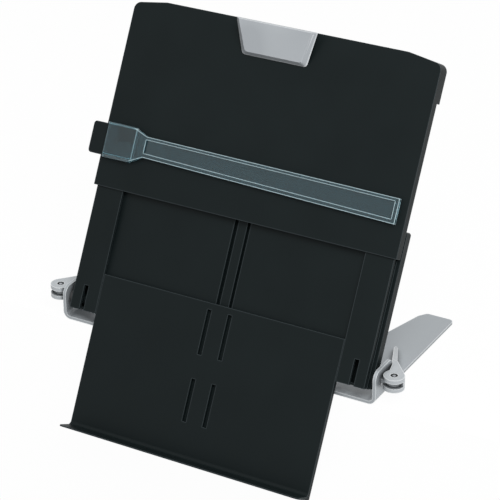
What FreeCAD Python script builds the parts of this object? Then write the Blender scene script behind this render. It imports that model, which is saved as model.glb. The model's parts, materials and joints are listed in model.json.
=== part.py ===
import FreeCAD, Part
import math
import os
import Sketcher
from types import SimpleNamespace

# Copy holder with line guide, in millimetres. +X is to the reader's right, +Y away from the reader,
# +Z up. The origin is the middle of the anti-slip pad's underside, on the desk.
# Panel pieces are drawn flat: X across, Y up along the panel from the upper board's lower edge,
# Z towards the reader from the upper board's face. panel_place() then leans them on the tilt pins.

LENGTHS = dict(
    # general
    running_gap=0.3,
    face_gap=0.2,
    pin_gap=0.1,
    overrun=1,
    # panel
    panel_lean=62.6,
    board_width=305,
    # upper board
    upper_length=174,
    shoulder_drop=5,
    shoulder_inset=32.5,
    upper_plate=2,
    upper_wall=2.2,
    upper_depth=8.5,
    lip_reach=4.4,
    upper_corner=7,
    ear_height=38,
    ear_depth=14.2,
    rib_wall=1.2,
    rib_pitch=40,
    # lower board
    lower_bottom=114,
    lower_top=21.5,
    side_gap=0.5,
    flange_thick=3.2,
    lower_wall=2,
    rail_thick=2.5,
    rail_width=30,
    rail_back_width=26.5,
    recess_depth=4.9,
    floor_thick=1.7,
    recess_end_wall=2.5,
    groove_reach=1.5,
    groove_top=4.7,
    channel_half=8,
    channel_floor=12,
    channel_wall=1.6,
    guide_rail_half=4.5,
    guide_rail_drop=0.6,
    rail_slot_inset=15,
    rail_slot_width=4.6,
    rail_slot_top=91,
    post_inset=52.5,
    post_high=8,
    post_low=95,
    post_half=3.2,
    # rear frame
    frame_depth=19.7,
    frame_plate=1.8,
    frame_side=4.8,
    frame_step=11,
    frame_edge=10.8,
    frame_flange_inset=9.1,
    frame_top=24,
    frame_end_wall=2.2,
    frame_corner=2.5,
    boss_radius=5,
    boss_length=12.5,
    # shell screws
    screw_radius=1.3,
    screw_hole_radius=1.6,
    screw_length=7,
    screw_head_radius=2.8,
    screw_head=1.4,
    # document shelf
    shelf_side_gap=0.5,
    shelf_plate=3,
    shelf_depth=4.4,
    shelf_rim=2,
    shelf_top=77,
    shelf_bottom=216.8,
    tongue_reach=1.6,
    tongue_length=35,
    tongue_thick=1.8,
    runner_top=80,
    runner_bottom=108,
    ledge_reach=21,
    ledge_thick=3,
    ledge_tip_thick=1.2,
    ledge_root=3.6,
    ledge_corner=4,
    shelf_slot_place=10.4,
    shelf_slot_width=4.2,
    shelf_slot_wall=1.2,
    shelf_slot_floor=0.8,
    upper_slot_top=83,
    upper_slot_bottom=124,
    lower_slot_top=146,
    lower_slot_bottom=185,
    brake_pad_half=4,
    brake_pad_length=22,
    brake_pad_thick=1.1,
    # clip
    clip_middle=-2.5,
    clip_base_half=22,
    clip_base_drop=22,
    clip_base_height=16,
    clip_base_thick=1.2,
    clip_ear_thick=1.4,
    clip_eye_radius=2.4,
    clip_pin_radius=1.5,
    clip_pin_drop=14,
    clip_pin_out=4.6,
    clip_pin_past=1,
    clip_rivet_place=12,
    clip_rivet_radius=1.5,
    clip_rivet_proud=0.8,
    lever_drop=31,
    lever_out=0.4,
    lever_slope=18.9,
    lever_length=32.4,
    lever_thick=3.6,
    lever_wall=1.5,
    lever_top_half=40.3,
    lever_bottom_half=32,
    lever_bevel=4,
    lever_corner=6,
    lug_thick=2.5,
    spring_half=5,
    spring_strip=0.4,
    spring_foot=7.6,
    spring_lean=1.8,
    # guide slider
    block_inset=5.9,
    block_width=29.2,
    block_low=29.6,
    block_high=56.7,
    block_out=6.3,
    ear_gap=0.5,
    ear_past=11.5,
    ear_low=27.5,
    ear_out=4,
    hook_thick=1.9,
    hook_reach=2.6,
    ear_corner=3,
    # line guide
    cap_inset=5.3,
    cap_width=26.2,
    cap_low=26.2,
    cap_high=58.5,
    cap_back=1,
    cap_front=8,
    cap_low_bevel=2,
    cap_high_bevel=1.2,
    cap_side_bevel=0.9,
    taper_run=14,
    bar_low=33.6,
    bar_high=52.7,
    bar_end_low=28.5,
    bar_end_high=50.9,
    bar_end_inset=7.5,
    bar_back=1.5,
    bar_front=5,
    bar_floor=1.5,
    bar_rim_low=4,
    bar_rim_high=3,
    bar_rim_end=3.8,
    # base bracket
    pad_thick=1,
    base_past=6.7,
    base_depth=31,
    base_thick=3,
    base_height=31,
    base_bend=7,
    front_corner=8,
    rear_corner=4,
    strip_pad_inset=12.5,
    strip_pad_depth=22,
    # tilt pins and washers
    tilt_pin_back=3.5,
    tilt_pin_high=19,
    tilt_pin_low=104.5,
    tilt_pin_in=14.7,
    tilt_pin_radius=3,
    tilt_pin_reach=9.5,
    washer_radius=6,
    washer_gap=0.2,
    # foot hinges
    hinge_out=10.9,
    hinge_back=2.6,
    ring_radius=9.3,
    ring_low=15.2,
    ring_thick=3.85,
    ring_gap=0.4,
    lug_radius=6.2,
    lug_neck_half=4.2,
    leg_pin_radius=3.15,
    leg_pin_recess=1,
    # feet
    web_start=5,
    web_end=35,
    arm_start=140,
    upright_clear=0.6,
    waist_out=0.2,
    waist_back=5,
    waist_width=4.6,
    arm_side=25.6,
    arm_run=56.5,
    arm_end_width=3.6,
    arm_point=9,
    arm_point_width=1.4,
    arm_tip_height=2.5,
    arm_under=26,
    leg_plate_thick=2.5,
    leg_plate_side=2.5,
    leg_plate_front=24,
    leg_plate_rear=150.5,
    leg_plate_rear_width=26.7,
    leg_plate_knee_width=32.2,
    leg_plate_knee=8,
    leg_plate_width=50,
    leg_plate_wide=75,
    leg_plate_front_width=10.7,
    leg_plate_corner=4.5,
    leg_rivet_radius=1,
    leg_rivet_length=5,
    leg_rivet_first=18,
    leg_rivet_pitch=12,
    leg_pad_front=100,
    leg_pad_rear=145,
    leg_pad_width=20,
    leg_pad_inset=4.7,
)

doc = FreeCAD.newDocument("copy_holder")
sheet = doc.addObject("Spreadsheet::Sheet", "Sizes")
for row, (name, value) in enumerate(LENGTHS.items(), start=1):
    sheet.set(f"A{row}", name)
    sheet.set(f"B{row}", str(value))
    sheet.setAlias(f"B{row}", name)
doc.recompute()


class Size:
    """A length worked out from the sheet: its value, and the expression that binds it."""

    def __init__(self, value, text):
        self.value = value
        self.text = text

    def __add__(self, other):
        other = as_size(other)
        return Size(self.value + other.value, f"({self.text} + {other.text})")

    def __sub__(self, other):
        other = as_size(other)
        return Size(self.value - other.value, f"({self.text} - {other.text})")

    def __mul__(self, other):
        other = as_size(other)
        return Size(self.value * other.value, f"({self.text} * {other.text})")

    def __truediv__(self, other):
        other = as_size(other)
        return Size(self.value / other.value, f"({self.text} / {other.text})")

    def __neg__(self):
        return Size(-self.value, f"(-1 * {self.text})")

    __radd__ = __add__
    __rmul__ = __mul__


def as_size(value):
    return value if isinstance(value, Size) else Size(value, str(value))


def sine(angle):
    return Size(math.sin(math.radians(angle.value)), f"sin({angle.text} * 1 deg)")


def cosine(angle):
    return Size(math.cos(math.radians(angle.value)), f"cos({angle.text} * 1 deg)")


s = SimpleNamespace(**{name: Size(sheet.get(name), f"Sizes.{name}") for name in LENGTHS})
NONE = as_size(0)
AXES = dict(X="YZ_Plane", Y="XZ_Plane", Z="XY_Plane")
SIDES = (("left", -1), ("right", 1))
near_share = 0.1
parallel_share = 0.999999


# Features

def bind(feature, path, size):
    feature.setExpression(path, as_size(size).text)


def new_body(label):
    body = doc.addObject("PartDesign::Body", label)
    body.Label = label
    return body


def vertex_constraints(sketch, geometry, position, point):
    for kind, coordinate in zip(("DistanceX", "DistanceY"), point):
        index = sketch.addConstraint(Sketcher.Constraint(kind, -1, 1, geometry, position, coordinate.value))
        bind(sketch, f"Constraints[{index}]", coordinate)


def new_sketch(body, name, axis, height):
    """A sketch square to an axis of the body, at a height along it."""
    sketch = body.newObject("Sketcher::SketchObject", name)
    plane = next(part for part in body.Origin.OriginFeatures if part.Role == AXES[axis])
    sketch.AttachmentSupport = (plane, "")
    sketch.MapMode = "FlatFace"
    bind(sketch, "AttachmentOffset.Base.z", -height if axis == "Y" else height)
    return sketch


def circle(sketch, x, y, radius):
    middle = FreeCAD.Vector(x.value, y.value, 0)
    index = sketch.addGeometry(Part.Circle(middle, FreeCAD.Vector(0, 0, 1), radius.value), False)
    vertex_constraints(sketch, index, 3, (x, y))
    constraint = sketch.addConstraint(Sketcher.Constraint("Radius", index, radius.value))
    bind(sketch, f"Constraints[{constraint}]", radius)


def arc(start, end, radius, turn):
    """A short arc from start to end: turn 1 keeps its centre on the left, turn -1 on the right."""
    chord = end - start
    left = FreeCAD.Vector(-chord.y, chord.x, 0).normalize() * turn
    centre = start + chord / 2 + left * math.sqrt(max(radius ** 2 - (chord.Length / 2) ** 2, 0))
    first, last = (start, end) if turn > 0 else (end, start)
    angles = [math.atan2(point.y - centre.y, point.x - centre.x) for point in (first, last)]
    return Part.ArcOfCircle(Part.Circle(centre, FreeCAD.Vector(0, 0, 1), radius), *angles)


def outline(sketch, points):
    """A closed outline. A point with a radius and a turn starts an arc instead of a line."""
    places = [FreeCAD.Vector(point[0].value, point[1].value, 0) for point in points]
    following = places[1:] + places[:1]
    first = sketch.GeometryCount
    ends = []
    for point, start, end in zip(points, places, following):
        if len(point) == 2:
            sketch.addGeometry(Part.LineSegment(start, end), False)
            ends.append((1, 2))
        else:
            radius, turn = point[2:]
            sketch.addGeometry(arc(start, end, radius.value, turn), False)
            ends.append((1, 2) if turn > 0 else (2, 1))
    for number, (point, (head, tail)) in enumerate(zip(points, ends)):
        index = first + number
        after = (number + 1) % len(points)
        sketch.addConstraint(Sketcher.Constraint("Coincident", index, tail, first + after, ends[after][0]))
        vertex_constraints(sketch, index, head, point[:2])
        if len(point) > 2:
            radius = sketch.addConstraint(Sketcher.Constraint("Radius", index, point[2].value))
            bind(sketch, f"Constraints[{radius}]", point[2])


def extrude(body, sketch, length, cut):
    """Pads a sketch, or cuts it, along its own normal, and makes sure that a cut removes something."""
    doc.recompute()
    before = body.Shape.Volume if cut else 0
    feature = body.newObject("PartDesign::Pocket" if cut else "PartDesign::Pad", f"{sketch.Name}_run")
    feature.Profile = sketch
    feature.Reversed = cut
    bind(feature, "Length", length)
    sketch.Visibility = False
    doc.recompute()
    if cut and body.Shape.Volume >= before:
        raise RuntimeError(f"{sketch.Name} in {body.Label} cuts nothing")
    return feature


def prism(body, name, axis, start, end, points, cut=False):
    """An outline run from start to end along an axis. On the Y axis, outlines are in X and Z."""
    sketch = new_sketch(body, name, axis, end if axis == "Y" else start)
    outline(sketch, [[as_size(value) if number < 3 else value for number, value in enumerate(point)]
                     for point in points])
    return extrude(body, sketch, end - start, cut)


def rod(body, name, axis, start, end, places, radius, cut=False):
    """Round bars, or bores, of one radius at some places."""
    sketch = new_sketch(body, name, axis, end if axis == "Y" else start)
    for x, y in places:
        circle(sketch, as_size(x), as_size(y), radius)
    return extrude(body, sketch, end - start, cut)


def rectangle(x_low, x_high, y_low, y_high):
    return [(x_low, y_low), (x_high, y_low), (x_high, y_high), (x_low, y_high)]


def mirrored(half):
    """An outline from its right half, drawn upwards from the middle line and back to it."""
    inner = [point for point in half if as_size(point[0]).value != 0]
    return half + [(-as_size(x), y) for x, y in reversed(inner)]


def corner_edges(feature, axis, places):
    """Names of the straight edges along an axis through the given places."""
    direction = dict(X=FreeCAD.Vector(1, 0, 0), Y=FreeCAD.Vector(0, 1, 0), Z=FreeCAD.Vector(0, 0, 1))[axis]
    near = s.running_gap.value * near_share
    names = []
    for number, edge in enumerate(feature.Shape.Edges, start=1):
        if edge.Curve.TypeId != "Part::GeomLine":
            continue
        if abs(edge.Curve.Direction.dot(direction)) < parallel_share:
            continue
        middle = edge.CenterOfMass
        place = [value for value, name in zip(middle, "XYZ") if name != axis]
        if any(all(abs(a - as_size(b).value) < near for a, b in zip(place, wanted)) for wanted in places):
            names.append(f"Edge{number}")
    return names


def slanted_edges(feature, middles):
    """Names of the edges whose middles are at the given points."""
    points = [FreeCAD.Vector(*(as_size(value).value for value in middle)) for middle in middles]
    near = s.running_gap.value
    return [f"Edge{number}" for number, edge in enumerate(feature.Shape.Edges, start=1)
            if min((edge.CenterOfMass - point).Length for point in points) < near]


def round_corners(body, name, axis, radius, places):
    edges = corner_edges(body.Tip, axis, places)
    if len(edges) < len(places):
        raise RuntimeError(f"{name} in {body.Label} finds {len(edges)} edges")
    return round_edges(body, name, radius, edges)


def round_edges(body, name, radius, edges):
    base = body.Tip
    fillet = body.newObject("PartDesign::Fillet", name)
    fillet.Base = (base, edges)
    bind(fillet, "Radius", radius)
    doc.recompute()
    if "Invalid" in fillet.State:
        raise RuntimeError(f"{name} in {body.Label} can't be rounded")
    return fillet


# Places shared by the panel pieces

board_half = s.board_width / 2
shoulder_half = board_half - s.shoulder_inset
ear_start = s.upper_length - s.ear_height
lower_half = board_half - s.upper_wall - s.side_gap
rail_edge = board_half - s.rail_width
rail_back_edge = board_half - s.rail_back_width
lip_half = board_half - s.upper_wall - s.lip_reach
rail_front = -s.upper_plate - s.face_gap
flange_back = rail_front - s.flange_thick
lip_front = flange_back - s.running_gap
lower_back = -s.upper_depth - s.running_gap
groove_front = -s.groove_top
recess_floor = rail_front - s.recess_depth
guide_rail_top = recess_floor - s.guide_rail_drop
brake_pad_front = guide_rail_top + s.pin_gap + s.brake_pad_thick
frame_back = -s.frame_depth
frame_inside = frame_back + s.frame_plate
frame_half = board_half - s.frame_side
shelf_front = rail_front - s.face_gap
shelf_back = shelf_front - s.shelf_depth
shelf_half = rail_edge - s.shelf_side_gap
post_place = board_half - s.post_inset
shell_posts = [(side * post_place, place) for _, side in SIDES for place in (-s.post_low, s.post_high)]
clip_pin_high = s.upper_length - s.clip_pin_drop
clip_pin_place = (clip_pin_high, s.clip_pin_out)
clip_rivet_places = [(s.clip_middle + side * s.clip_rivet_place, clip_pin_high) for _, side in SIDES]
clip_base_low = s.upper_length - s.clip_base_drop
clip_base_high = clip_base_low + s.clip_base_height
lever_low = s.upper_length - s.lever_drop
block_left = board_half - s.block_inset
block_right = block_left - s.block_width
cap_left = board_half - s.cap_inset

# Places shared by the base pieces

strip_top = s.pad_thick + s.base_thick
base_top = s.pad_thick + s.base_height
base_rear = s.base_depth / 2
base_half = board_half + s.base_past
upright_inside = base_half - s.base_thick
tilt_pin_place = (-s.tilt_pin_back, s.tilt_pin_high)
hinge_x = base_half + s.hinge_out
hinge_y = -s.hinge_back
lug_low = s.ring_low + s.ring_thick + s.ring_gap
ring_high = s.ring_low + s.ring_thick * 3 + s.ring_gap * 2
plate_top = s.pad_thick + s.leg_plate_thick


def panel_place(slope=0, x=0, y=0, z=0):
    """Leans a piece with the panel, whose tilt pin stays in place."""
    lean = FreeCAD.Rotation(FreeCAD.Vector(1, 0, 0), s.panel_lean.value)
    pin = FreeCAD.Vector(0, -s.tilt_pin_back.value, s.tilt_pin_high.value)
    pin_on_panel = FreeCAD.Vector(0, -s.tilt_pin_low.value, -s.tilt_pin_in.value)
    panel = FreeCAD.Placement(pin - lean.multVec(pin_on_panel), lean)
    on_panel = FreeCAD.Rotation(FreeCAD.Vector(1, 0, 0), slope)
    return panel * FreeCAD.Placement(FreeCAD.Vector(x, y, z), on_panel)


# Upper board: a front plate with a top wall, side walls with inward lips, and deep upper corners

def upper_board():
    body = new_body("upper_board")
    shoulder = s.upper_length - s.shoulder_drop
    inside = board_half - s.upper_wall
    prism(body, "board_outline", "Z", -s.ear_depth, NONE, mirrored([
        (board_half, NONE),
        (board_half, shoulder),
        (shoulder_half, s.upper_length)]))
    prism(body, "low_back", "Z", -s.ear_depth - s.overrun, -s.upper_depth, rectangle(
        -board_half - s.overrun, board_half + s.overrun, -s.overrun, ear_start), cut=True)
    round_corners(body, "top_corners", "Z", s.upper_corner,
                  [(side * board_half, shoulder) for _, side in SIDES])
    prism(body, "deep_hollow", "Z", -s.ear_depth - s.overrun, -s.upper_depth, mirrored([
        (inside, ear_start - s.overrun),
        (inside, shoulder - s.upper_wall),
        (shoulder_half, s.upper_length - s.upper_wall)]), cut=True)
    round_corners(body, "deep_corners", "Z", s.upper_corner - s.upper_wall,
                  [(side * inside, shoulder - s.upper_wall) for _, side in SIDES])
    prism(body, "hollow", "Z", -s.upper_depth - s.overrun, -s.upper_plate, mirrored([
        (lip_half, -s.overrun),
        (lip_half, shoulder - s.upper_wall),
        (shoulder_half, s.upper_length - s.upper_wall)]), cut=True)
    for side_name, side in SIDES:
        prism(body, f"{side_name}_guideway", "Y", -s.overrun, shoulder - s.upper_corner, rectangle(
            side * (lip_half - s.overrun), side * inside, lip_front, -s.upper_plate), cut=True)
    rib = prism(body, "rib", "X", s.rib_pitch, s.rib_pitch + s.rib_wall, rectangle(
        ear_start, s.upper_length - s.upper_wall / 2, -s.upper_depth, -s.upper_plate / 2))
    ribs = body.newObject("PartDesign::LinearPattern", "ribs")
    ribs.Originals = [rib]
    ribs.Direction = (next(part for part in body.Origin.OriginFeatures if part.Role == "X_Axis"), [""])
    ribs.Reversed = True
    ribs.Occurrences = 3
    bind(ribs, "Length", s.rib_pitch * 2 + s.rib_wall)
    body.Tip = ribs
    doc.recompute()
    rod(body, "rivet_holes", "Z", -s.upper_plate - s.overrun, s.overrun, clip_rivet_places,
        s.clip_rivet_radius + s.pin_gap / 2, cut=True)
    body.Placement = panel_place()


# Lower board: one slide profile carries the upper board outside and the shelf inside

def lower_board():
    body = new_body("lower_board")
    channel_back = -s.channel_floor - s.channel_wall
    hat_half = s.channel_half + s.channel_wall
    wall_out = lip_half - s.running_gap
    wall_in = wall_out - s.lower_wall
    rail_back = rail_front - s.rail_thick
    prism(body, "slide_profile", "Y", -s.lower_bottom, s.lower_top, mirrored([
        (s.guide_rail_half, guide_rail_top),
        (s.guide_rail_half, -s.channel_floor),
        (s.channel_half, -s.channel_floor),
        (s.channel_half, recess_floor),
        (rail_edge + s.groove_reach, recess_floor),
        (rail_edge + s.groove_reach, groove_front),
        (rail_edge, groove_front),
        (rail_edge, rail_front),
        (lower_half, rail_front),
        (lower_half, flange_back),
        (wall_out, flange_back),
        (wall_out, lower_back),
        (wall_in, lower_back),
        (wall_in, rail_back),
        (rail_back_edge, rail_back),
        (rail_back_edge, lower_back),
        (hat_half, lower_back),
        (hat_half, channel_back)]))
    prism(body, "recess_end", "Y", s.lower_top - s.recess_end_wall, s.lower_top, rectangle(
        -rail_edge - s.groove_reach, rail_edge + s.groove_reach, -s.channel_floor, rail_front))
    for side_name, side in SIDES:
        middle = side * (board_half - s.rail_slot_inset)
        half = s.rail_slot_width / 2
        prism(body, f"{side_name}_rail_slot", "Z", rail_back - s.overrun, rail_front + s.overrun, rectangle(
            middle - half, middle + half, -s.lower_bottom - s.overrun, -s.rail_slot_top), cut=True)
    half = s.post_half
    for number, (x, y) in enumerate(shell_posts):
        prism(body, f"screw_post_{number}", "Z", frame_inside, lower_back + s.floor_thick / 2, rectangle(
            x - half, x + half, y - half, y + half))
    rod(body, "screw_pilots", "Z", frame_inside - s.overrun, frame_inside + s.screw_length,
        shell_posts, s.screw_radius + s.pin_gap / 2, cut=True)
    body.Placement = panel_place()


# Rear frame: the shell behind the lower board, with the bosses that turn on the tilt pins

def rear_frame():
    body = new_body("rear_frame")
    frame_flange = board_half - s.frame_flange_inset
    frame_profile = mirrored([
        (frame_half, frame_inside),
        (frame_half, -s.frame_step),
        (frame_flange, -s.frame_step),
        (frame_flange, lower_back),
        (lower_half, lower_back),
        (lower_half, -s.frame_edge),
        (board_half, -s.frame_edge),
        (board_half, frame_back)])
    prism(body, "frame_profile", "Y", -s.lower_bottom, s.frame_top, frame_profile)
    notch_half = s.channel_half + s.channel_wall + s.running_gap
    notch_floor = -s.channel_floor - s.channel_wall - s.running_gap
    end_profile = mirrored([
        (notch_half, notch_floor),
        (notch_half, lower_back),
        (frame_flange, lower_back),
        (frame_flange, -s.frame_step),
        (frame_half, -s.frame_step),
        (frame_half, frame_inside - s.frame_plate / 2)])
    for name, start in (("low_end", -s.lower_bottom), ("top_end", s.frame_top - s.frame_end_wall)):
        prism(body, name, "Y", start, start + s.frame_end_wall, end_profile)
    boss_place = [(-s.tilt_pin_low, -s.tilt_pin_in)]
    for side_name, side in SIDES:
        faces = (side * (board_half - s.boss_length), side * board_half)
        low, high = sorted(faces, key=lambda size: size.value)
        rod(body, f"{side_name}_tilt_boss", "X", low, high, boss_place, s.boss_radius)
    rod(body, "tilt_bore", "X", -board_half - s.overrun, board_half + s.overrun, boss_place,
        s.tilt_pin_radius + s.pin_gap / 2, cut=True)
    rod(body, "screw_holes", "Z", frame_back - s.overrun, frame_inside + s.overrun, shell_posts,
        s.screw_hole_radius, cut=True)
    round_corners(body, "frame_corners", "Z", s.frame_corner,
                  [(side * board_half, end) for _, side in SIDES for end in (-s.lower_bottom, s.frame_top)])
    body.Placement = panel_place()


def shell_screws():
    body = new_body("shell_screws")
    rod(body, "screw_shanks", "Z", frame_back - s.screw_head / 2, frame_inside + s.screw_length - s.overrun,
        shell_posts, s.screw_radius)
    rod(body, "screw_heads", "Z", frame_back - s.screw_head, frame_back, shell_posts, s.screw_head_radius)
    body.Placement = panel_place()


def friction_washers():
    for side_name, side in SIDES:
        body = new_body(f"{side_name}_friction_washer")
        faces = (side * board_half, side * (upright_inside - s.face_gap))
        low, high = sorted(faces, key=lambda size: size.value)
        place = [(-s.tilt_pin_low, -s.tilt_pin_in)]
        rod(body, f"{side_name}_washer", "X", low, high, place, s.washer_radius)
        rod(body, f"{side_name}_washer_bore", "X", low - s.overrun, high + s.overrun, place,
            s.tilt_pin_radius + s.washer_gap, cut=True)
        body.Placement = panel_place()


# Document shelf: slides in the recess on two tongues, and runs in the channel

def document_shelf():
    body = new_body("document_shelf")
    half = shelf_half
    rim_half = half - s.shelf_rim
    prism(body, "shelf_plate", "Z", shelf_back, shelf_front, rectangle(
        -half, half, -s.shelf_bottom, -s.shelf_top))
    prism(body, "shelf_hollow", "Z", shelf_back - s.overrun, shelf_front - s.shelf_plate, rectangle(
        -rim_half, rim_half, -s.shelf_bottom + s.shelf_rim, -s.shelf_top - s.shelf_rim), cut=True)
    tongue_half = half + s.tongue_reach
    prism(body, "tongues", "Z", shelf_back, shelf_back + s.tongue_thick, rectangle(
        rim_half, tongue_half, -s.shelf_top - s.tongue_length, -s.shelf_top))
    prism(body, "left_tongue", "Z", shelf_back, shelf_back + s.tongue_thick, rectangle(
        -tongue_half, -rim_half, -s.shelf_top - s.tongue_length, -s.shelf_top))
    runner_half = s.channel_half - s.running_gap
    runner_back = -s.channel_floor + s.running_gap
    prism(body, "runner", "Z", runner_back, shelf_front - s.shelf_plate / 2, rectangle(
        -runner_half, runner_half, -s.runner_bottom, -s.runner_top))
    groove_half = s.guide_rail_half + s.running_gap
    prism(body, "runner_groove", "Z", runner_back - s.overrun, brake_pad_front, rectangle(
        -groove_half, groove_half, -s.runner_bottom - s.overrun, -s.runner_top + s.overrun), cut=True)
    slot_ends = ((s.upper_slot_bottom, s.upper_slot_top), (s.lower_slot_bottom, s.lower_slot_top))
    half_width = s.shelf_slot_width / 2
    wall = s.shelf_slot_wall
    for side_name, side in SIDES:
        middle = side * s.shelf_slot_place
        for row, (bottom, top) in enumerate(slot_ends):
            outside = half_width + wall
            prism(body, f"{side_name}_pocket_{row}", "Z", shelf_back, shelf_front - s.shelf_plate / 2,
                  rectangle(middle - outside, middle + outside, -bottom - wall, -top + wall))
            prism(body, f"{side_name}_slot_{row}", "Z", shelf_back + s.shelf_slot_floor,
                  shelf_front + s.overrun,
                  rectangle(middle - half_width, middle + half_width, -bottom, -top), cut=True)
    ledge_tip = shelf_front + s.ledge_reach
    prism(body, "ledge", "X", -half, half, [
        (-s.shelf_bottom - s.ledge_thick, shelf_back),
        (-s.shelf_bottom, shelf_back),
        (-s.shelf_bottom, ledge_tip),
        (-s.shelf_bottom - s.ledge_tip_thick, ledge_tip),
        (-s.shelf_bottom - s.ledge_thick, shelf_front)])
    round_corners(body, "ledge_root", "X", s.ledge_root, [(-s.shelf_bottom, shelf_front)])
    round_corners(body, "ledge_corners", "Y", s.ledge_corner,
                  [(side * half, ledge_tip) for _, side in SIDES])
    body.Placement = panel_place()


def shelf_brake_pad():
    body = new_body("shelf_brake_pad")
    middle = -(s.runner_top + s.runner_bottom) / 2
    prism(body, "felt", "Z", brake_pad_front - s.brake_pad_thick, brake_pad_front, rectangle(
        -s.brake_pad_half, s.brake_pad_half,
        middle - s.brake_pad_length / 2, middle + s.brake_pad_length / 2))
    body.Placement = panel_place()


# Clip: a bevelled lever on a riveted hinge plate

def eye(body, name, start, end, place, foot, radius):
    """An ear or lug along X: a stem from its foot to a round eye at the pin."""
    middle, out = place
    low, high = sorted((foot, out), key=lambda size: size.value)
    prism(body, f"{name}_stem", "X", start, end, rectangle(middle - radius, middle + radius, low, high))
    rod(body, f"{name}_eye", "X", start, end, [place], radius)


def clip_base():
    body = new_body("clip_base")
    middle = s.clip_middle
    half = s.clip_base_half
    prism(body, "base_plate", "Z", NONE, s.clip_base_thick, rectangle(
        middle - half, middle + half, clip_base_low, clip_base_high))
    ears = (("left_ear", middle - half), ("right_ear", middle + half - s.clip_ear_thick))
    for name, start in ears:
        eye(body, name, start, start + s.clip_ear_thick, clip_pin_place, NONE, s.clip_eye_radius)
    rod(body, "pin_holes", "X", middle - half - s.overrun, middle + half + s.overrun, [clip_pin_place],
        s.clip_pin_radius + s.pin_gap / 2, cut=True)
    rod(body, "rivet_holes_in_base", "Z", -s.overrun, s.clip_base_thick + s.overrun, clip_rivet_places,
        s.clip_rivet_radius + s.pin_gap / 2, cut=True)
    body.Placement = panel_place()


def clip_rivets():
    body = new_body("clip_rivets")
    rod(body, "rivet_shanks", "Z", -s.upper_plate, s.clip_base_thick + s.clip_rivet_proud,
        clip_rivet_places, s.clip_rivet_radius)
    body.Placement = panel_place()


def clip_pin():
    body = new_body("clip_pin")
    half = s.clip_base_half + s.clip_pin_past
    rod(body, "clip_pin_bar", "X", s.clip_middle - half, s.clip_middle + half, [clip_pin_place],
        s.clip_pin_radius)
    body.Placement = panel_place()


def lever_loft(body, name, feature_type, low_inset, back, front, inset, bevel):
    """A tapered plate between a back and a front outline, bevelled at its sides and lower edge."""
    sketches = []
    for level, (height, edge) in enumerate(((back, inset), (front, inset + bevel))):
        sketch = new_sketch(body, f"{name}_{level}", "Z", height)
        bottom_half = s.lever_bottom_half - edge
        top_half = s.lever_top_half - edge
        outline(sketch, [
            (-bottom_half, low_inset + edge - inset),
            (bottom_half, low_inset + edge - inset),
            (top_half, s.lever_length - low_inset),
            (-top_half, s.lever_length - low_inset)])
        sketches.append(sketch)
    loft = body.newObject(feature_type, name)
    loft.Profile = sketches[0]
    loft.Sections = sketches[1:]
    loft.Ruled = True
    doc.recompute()
    return loft


def clip_lever():
    body = new_body("clip_lever")
    lever_loft(body, "lever_shell", "PartDesign::AdditiveLoft", NONE, NONE, s.lever_thick, NONE,
               s.lever_bevel)
    roof = s.lever_thick - s.lever_wall
    before = body.Shape.Volume
    lever_loft(body, "lever_hollow", "PartDesign::SubtractiveLoft", s.lever_wall, -s.overrun, roof,
               s.lever_wall, s.lever_bevel / 2)
    if body.Shape.Volume >= before:
        raise RuntimeError("the lever isn't hollow")
    corner_x = s.lever_bottom_half - s.lever_bevel / 2
    low_corners = [(side * corner_x, s.lever_bevel / 2, s.lever_thick / 2) for _, side in SIDES]
    slant = (roof / 2 + s.overrun) / (roof + s.overrun) * (s.lever_bevel / 2)
    hollow_corners = [(side * (s.lever_bottom_half - s.lever_wall - slant), s.lever_wall + slant, roof / 2)
                      for _, side in SIDES]
    for name, places, radius in (("hollow_corners", hollow_corners, s.lever_corner - s.lever_wall),
                                 ("lever_corners", low_corners, s.lever_corner)):
        edges = slanted_edges(body.Tip, places)
        if len(edges) != len(places):
            raise RuntimeError(f"{name} aren't found")
        round_edges(body, name, radius, edges)
    across = clip_pin_high - lever_low
    out = s.clip_pin_out - s.lever_out
    pin = (across * cosine(s.lever_slope) + out * sine(s.lever_slope),
           out * cosine(s.lever_slope) - across * sine(s.lever_slope))
    outside = s.clip_base_half - s.clip_ear_thick - s.running_gap
    for side_name, side in SIDES:
        faces = (side * outside, side * (outside - s.lug_thick))
        low, high = sorted(faces, key=lambda size: size.value)
        eye(body, f"{side_name}_lug", low, high, pin, roof + s.lever_wall / 2, s.clip_eye_radius)
    rod(body, "lug_bores", "X", -outside - s.overrun, outside + s.overrun, [pin],
        s.clip_pin_radius + s.pin_gap / 2, cut=True)
    body.Placement = panel_place(
        s.lever_slope.value, s.clip_middle.value, lever_low.value, s.lever_out.value)


def clip_spring():
    body = new_body("clip_spring")
    strip = s.spring_strip
    foot = s.clip_base_thick
    bend = clip_base_high + s.spring_lean
    tip = bend - s.spring_lean
    rise = (tip - lever_low) * sine(s.lever_slope) + s.lever_thick - s.lever_wall - s.running_gap
    tip_out = s.lever_out + rise / cosine(s.lever_slope)
    prism(body, "leaf", "X", s.clip_middle - s.spring_half, s.clip_middle + s.spring_half, [
        (bend - s.spring_foot, foot),
        (bend, foot),
        (tip, tip_out),
        (tip - strip, tip_out),
        (bend - strip * 2, foot + strip),
        (bend - s.spring_foot, foot + strip)])
    body.Placement = panel_place()


# Line guide: a block that hooks round the board's left edge, and the clear bar on it

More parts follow.
